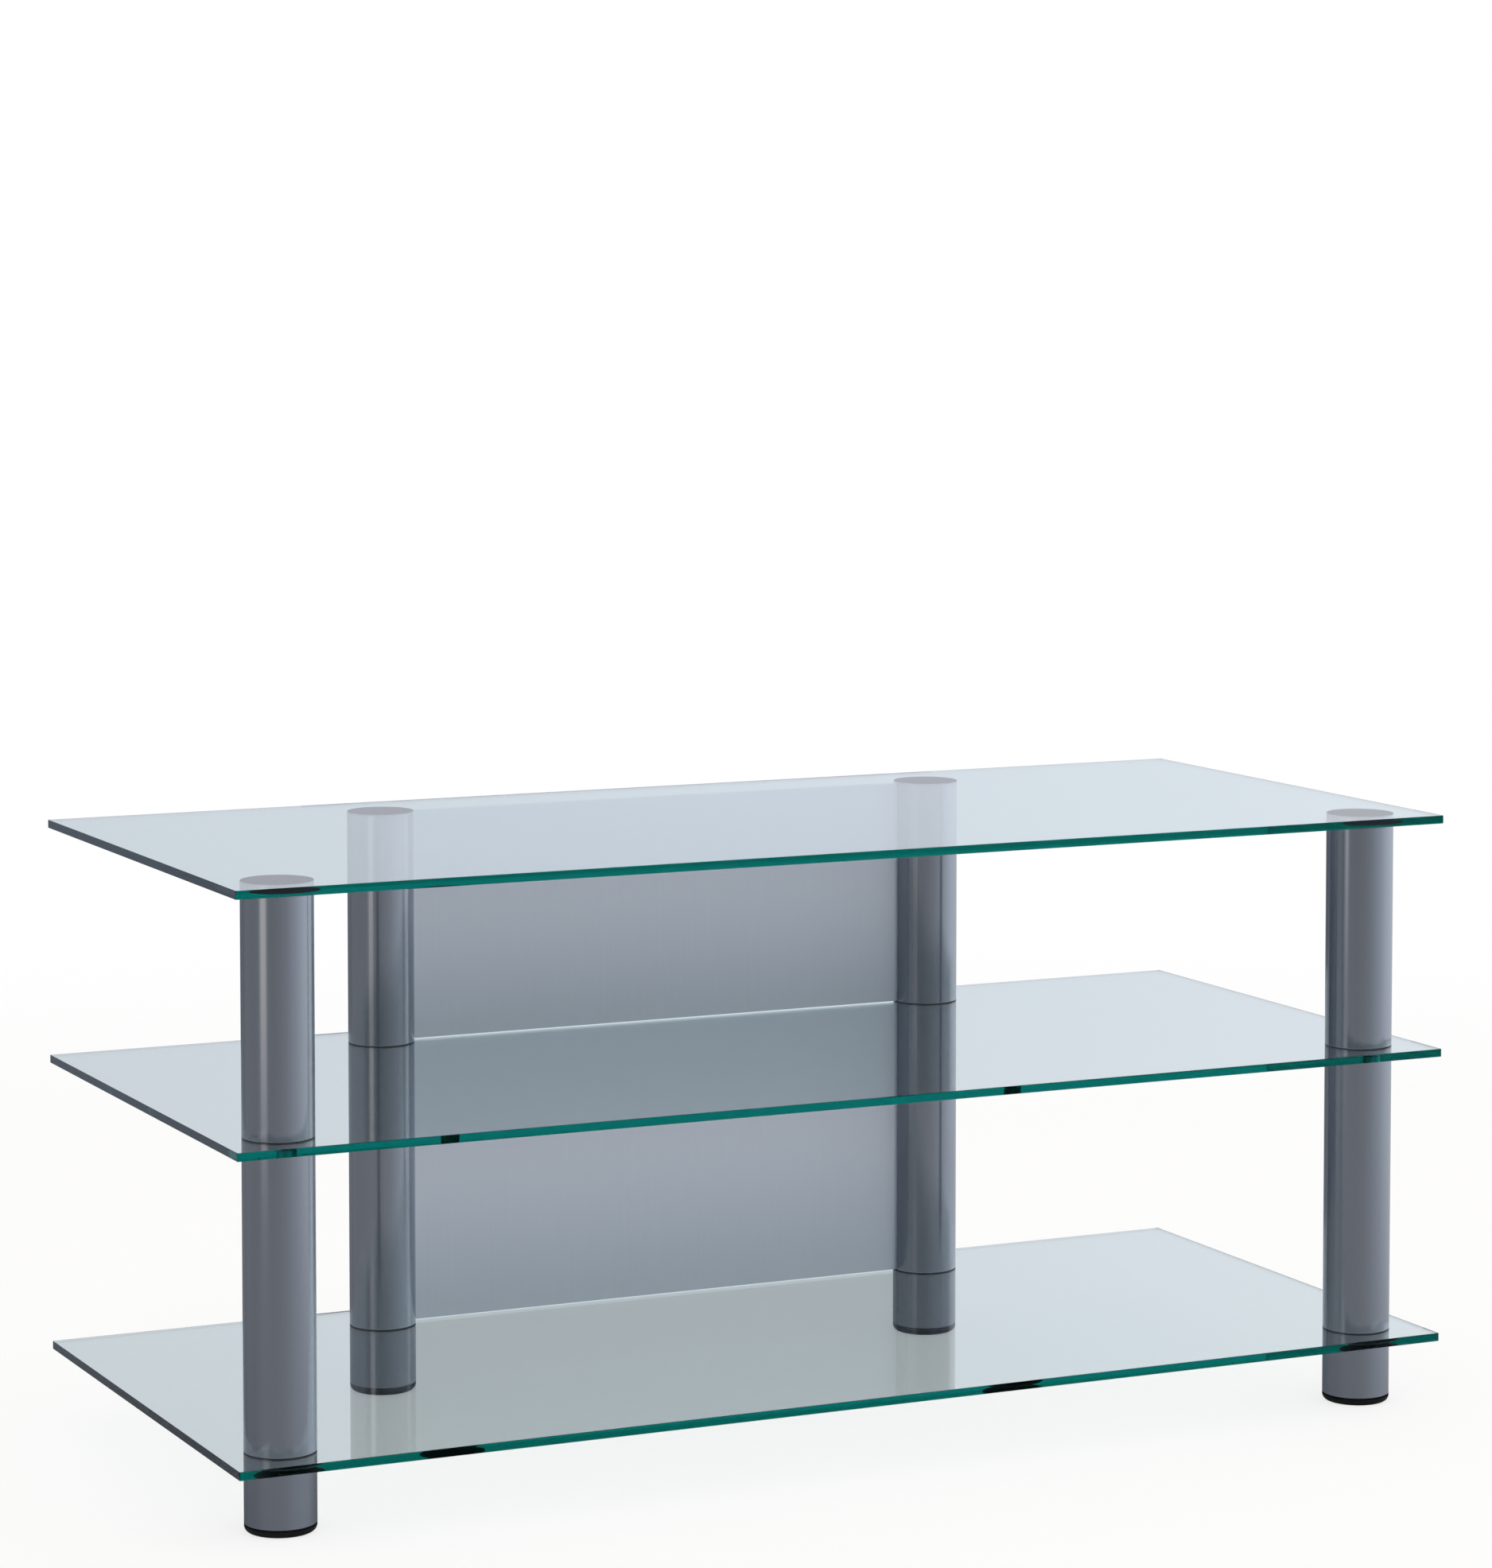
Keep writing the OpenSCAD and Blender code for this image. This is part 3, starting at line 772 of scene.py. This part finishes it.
class STAND_OT_studio(bpy.types.Operator):
    """Makes the floor, the surroundings and the soft lamps."""

    bl_idname = "stand.studio"
    bl_label = "Studio"

    def execute(self, context):
        self.surroundings(context)
        self.floor()
        self.lamps(context)
        context.scene.view_settings.view_transform = "Standard"
        # Light runs along inside the glass from edge to edge, and is mirrored many times on the way
        cycles = context.scene.cycles
        cycles.max_bounces = 40
        cycles.glossy_bounces = 32
        cycles.transmission_bounces = 16
        cycles.transparent_max_bounces = 16
        return {"FINISHED"}

    def surroundings(self, context):
        """White for the camera. Metal and glass see the pale studio: light on the right, greyer on the
        left and just below the horizon."""
        world = bpy.data.worlds.new("studio")
        context.scene.world = world
        world.cycles.sampling_method = "NONE"
        world.use_nodes = True
        tree = world.node_tree
        tree.nodes.clear()
        where = add(tree, "ShaderNodeTexCoord").outputs["Generated"]
        rightwards = add(tree, "ShaderNodeVectorMath", {0: where, 1: RIGHTWARDS}, operation="DOT_PRODUCT")
        side = add(tree, "ShaderNodeMapRange", {0: rightwards.outputs["Value"], 1: -1.0, 2: 1.0})
        band = self.bands(tree, where, side.outputs[0])

        below, above = (
            self.radiance_at(tree, side.outputs[0], stops) for stops in (RADIANCE_BELOW, RADIANCE_ABOVE))
        # The camera's side of the studio is dimmer
        above = add(tree, "ShaderNodeVectorMath", {0: above, "Scale": band["dimmer_front"]},
                    operation="SCALE")
        around = add(tree, "ShaderNodeMix", {0: band["above"], 6: below, 7: above.outputs[0]},
                     data_type="RGBA")
        lit = add(tree, "ShaderNodeMix", {0: band["overhead"], 6: around.outputs[2], 7: RADIANCE_OVERHEAD},
                  data_type="RGBA")

        # Metal sees the floor grow even and grey underfoot, and glass lets the pale floor through
        grey_floor = add(tree, "ShaderNodeMix", {
            0: band["underfoot"], 6: lit.outputs[2], 7: RADIANCE_UNDERFOOT}, data_type="RGBA")
        seen_through = add(tree, "ShaderNodeMix", {
            0: band["pale_floor"], 6: lit.outputs[2], 7: RADIANCE_PALE_FLOOR}, data_type="RGBA")

        # Close to the feet the floor carries a painted shadow of the stand, darker the further under the
        # stand, and behind them on the left it is darker too
        under = add(tree, "ShaderNodeVectorMath", {0: where, 1: UNDER_STAND}, operation="DOT_PRODUCT")
        under = add(tree, "ShaderNodeMapRange", {
            0: under.outputs["Value"], 1: UNDER_RANGE[0], 2: UNDER_RANGE[1]})
        under = add(tree, "ShaderNodeMath", {0: under.outputs[0], 1: UNDER_POWER}, operation="POWER")
        kept = add(tree, "ShaderNodeMapRange", {0: under.outputs[0], 3: FLOOR_LIGHT[0], 4: FLOOR_LIGHT[1]})
        kept = add(tree, "ShaderNodeMix", {0: band["feet"], 2: 1.0, 3: kept.outputs[0]})
        floor_with_painted_shadow = add(tree, "ShaderNodeVectorMath", {0: grey_floor.outputs[2], "Scale": kept.outputs[0]},
                       operation="SCALE")
        shaded = add(tree, "ShaderNodeMix", {
            0: band["behind_feet"], 6: floor_with_painted_shadow.outputs[0], 7: RADIANCE_BEHIND_FEET}, data_type="RGBA")

        # The far wall behind the stand is in shade, but for an upright panel that the glass ends mirror
        wall = add(tree, "ShaderNodeMix", {0: band["feet"], 6: RADIANCE_WALL, 7: RADIANCE_WALL_FOOT},
                   data_type="RGBA")
        wall = add(tree, "ShaderNodeMix", {0: band["wall_panel"], 6: wall.outputs[2], 7: RADIANCE_WALL_PANEL},
                   data_type="RGBA")
        mirrored = add(tree, "ShaderNodeMix", {0: band["wall"], 6: shaded.outputs[2], 7: wall.outputs[2]},
                       data_type="RGBA")

        path = add(tree, "ShaderNodeLightPath")
        studio = add(tree, "ShaderNodeMix", {
            0: path.outputs["Is Transmission Ray"], 6: mirrored.outputs[2], 7: seen_through.outputs[2]},
            data_type="RGBA")
        colour = add(tree, "ShaderNodeMix", {
            0: path.outputs["Is Camera Ray"], 6: studio.outputs[2], 7: (1, 1, 1, 1)}, data_type="RGBA")
        background = add(tree, "ShaderNodeBackground", {"Color": colour.outputs[2], "Strength": 1.0})
        add(tree, "ShaderNodeOutputWorld", {"Surface": background.outputs[0]})

    def bands(self, tree, where, side):
        """The value that each soft band, and each part where bands meet, has in a direction."""
        across, along, height = add(tree, "ShaderNodeSeparateXYZ", {0: where}).outputs
        lines = {"side": side, "across": across, "along": along, "height": height}
        band = {}
        for name, (line, start, end, before, after) in BANDS.items():
            change = add(tree, "ShaderNodeMapRange", {0: lines[line], 1: start, 2: end, 3: before, 4: after},
                         interpolation_type="SMOOTHSTEP")
            band[name] = change.outputs[0]
        for name, (first, *others) in PARTS.items():
            band[name] = band[first]
            for other in others:
                both = add(tree, "ShaderNodeMath", {0: band[name], 1: band[other]}, operation="MULTIPLY")
                band[name] = both.outputs[0]
        return band

    def radiance_at(self, tree, place, stops):
        """The radiance at a place between left and right. A colour ramp holds nothing over 1, so it is
        filled with shares of the brightest channel and its result is scaled up again."""
        brightest = max(max(radiance) for _, radiance in stops)
        ramp = add(tree, "ShaderNodeValToRGB", {0: place})
        elements = ramp.color_ramp.elements
        elements.remove(elements[-1])
        elements[0].position = stops[0][0]
        elements[0].color = rgba(stops[0][1], 1 / brightest)
        for position, radiance in stops[1:]:
            elements.new(position).color = rgba(radiance, 1 / brightest)
        scaled = add(tree, "ShaderNodeVectorMath", {0: ramp.outputs[0], "Scale": brightest},
                     operation="SCALE")
        return scaled.outputs[0]

    def floor(self):
        """A pale floor whose shadow fades out with the distance. The camera, the glass and the metal see
        it as a thin veil, so that a foot screwed down below its level still shows."""
        # A flat square grid of points at floor level
        line = np.linspace(-FLOOR_REACH, FLOOR_REACH, FLOOR_POINTS)
        x, y = np.meshgrid(line, line, indexing="ij")
        points = np.stack([x, y, np.zeros_like(x)], -1)
        material, tree = new_material("pale_floor")
        where = add(tree, "ShaderNodeTexCoord")
        far = add(tree, "ShaderNodeVectorMath", {0: where.outputs["Object"]}, operation="LENGTH")
        for_camera, for_mirrors = (
            add(tree, "ShaderNodeMapRange", {
                0: far.outputs["Value"], 1: FLOOR_FADE[0], 2: FLOOR_FADE[1], 4: veil},
                interpolation_type="SMOOTHSTEP").outputs[0]
            for veil in (VEIL_FOR_CAMERA, VEIL_FOR_MIRRORS))
        path = add(tree, "ShaderNodeLightPath")
        mirrored = add(tree, "ShaderNodeMath", {
            0: path.outputs["Is Glossy Ray"], 1: path.outputs["Is Transmission Ray"]},
            operation="MAXIMUM")
        share = add(tree, "ShaderNodeMix", {0: mirrored.outputs[0], 2: 1.0, 3: for_mirrors})
        share = add(tree, "ShaderNodeMix", {
            0: path.outputs["Is Camera Ray"], 2: share.outputs[0], 3: for_camera})
        pale = add(tree, "ShaderNodeBsdfDiffuse", {"Color": FLOOR_COLOUR})
        clear = add(tree, "ShaderNodeBsdfTransparent")
        surface = add(tree, "ShaderNodeMixShader", {
            0: share.outputs[0], 1: clear.outputs[0], 2: pale.outputs[0]})
        add(tree, "ShaderNodeOutputMaterial", {"Surface": surface.outputs[0]})
        faces = ring_faces(FLOOR_POINTS, FLOOR_POINTS, close_rings=False, close_points=False)
        sheet = make_piece("studio_floor", points, faces, material)

    def lamps(self, context):
        """A tall narrow warm lamp on the left and a broad soft lamp overhead."""
        self.area_lamp(context, "left_lamp", place=(-1.329, -0.603, 0.41), target=(-0.3, -0.12, 0.41),
                       width=0.36, height=0.80, colour=(1.0, 0.91, 0.80), radiance=0.84, fade=0.275)
        self.area_lamp(context, "overhead_lamp", place=(0.5, -0.6, 2.6), target=(0.0, 0.0, 0.2),
                       width=2.2, height=1.8, colour=(1.0, 1.0, 1.0), radiance=1.2)

    def area_lamp(self, context, name, place, target, width, height, colour, radiance, fade=0.0):
        """A rectangular lamp that faces its target. Its power follows from the radiance of its face,
        which grows from nothing at the lower end to full at the fraction fade of its height."""
        data = bpy.data.lights.new(name, "AREA")
        data.shape = "RECTANGLE"
        data.size, data.size_y = width, height
        data.color = colour
        data.energy = radiance * math.pi * width * height
        if fade:
            data.use_nodes = True
            tree = data.node_tree
            tree.nodes.clear()
            face = add(tree, "ShaderNodeNewGeometry")
            where = add(tree, "ShaderNodeSeparateXYZ", {0: face.outputs["Parametric"]})
            rise = add(tree, "ShaderNodeMapRange", {0: where.outputs["Y"], 1: 0.0, 2: fade})
            glow = add(tree, "ShaderNodeEmission", {"Strength": rise.outputs[0]})
            add(tree, "ShaderNodeOutputLight", {"Surface": glow.outputs[0]})
        lamp = bpy.data.objects.new(name, data)
        ahead = np.array(target) - np.array(place)
        tilt = math.atan2(ahead[2], math.hypot(ahead[0], ahead[1]))
        heading = math.atan2(ahead[1], ahead[0])
        lamp.location = place
        lamp.rotation_euler = (math.pi / 2 + tilt, 0.0, heading - math.pi / 2)
        lamp.visible_camera = lamp.visible_transmission = False
        context.scene.collection.objects.link(lamp)


class STAND_PT_panel(bpy.types.Panel):
    """Lists what the stand is made of."""

    bl_idname = "STAND_PT_panel"
    bl_label = "Glass Television Stand"
    bl_space_type = "VIEW_3D"
    bl_region_type = "UI"
    bl_category = "Glass Stand"

    def draw(self, context):
        layout = self.layout
        for operator in OPERATORS:
            layout.operator(operator.bl_idname)
        for group in (context.scene.stand_sizes, context.scene.stand_colours):
            box = layout.box()
            for key in group.__annotations__:
                box.prop(group, key)


OPERATORS = (
    STAND_OT_camera, STAND_OT_glass_shelves, STAND_OT_hole_liners, STAND_OT_post_tubes,
    STAND_OT_back_panels, STAND_OT_fittings, STAND_OT_studio)
CLASSES = (StandSizes, StandColours, *OPERATORS, STAND_PT_panel)


def register():
    """Makes the classes known and gives every scene the sizes and colours."""
    for cls in CLASSES:
        bpy.utils.register_class(cls)
    bpy.types.Scene.stand_sizes = bpy.props.PointerProperty(type=StandSizes)
    bpy.types.Scene.stand_colours = bpy.props.PointerProperty(type=StandColours)


def unregister():
    """Undoes what register does."""
    del bpy.types.Scene.stand_colours
    del bpy.types.Scene.stand_sizes
    for cls in reversed(CLASSES):
        bpy.utils.unregister_class(cls)


def main():
    """Makes the pieces and the studio in order."""
    register()
    for operator in OPERATORS:
        group, name = operator.bl_idname.split(".")
        getattr(getattr(bpy.ops, group), name)()


if __name__ == "__main__":
    main()
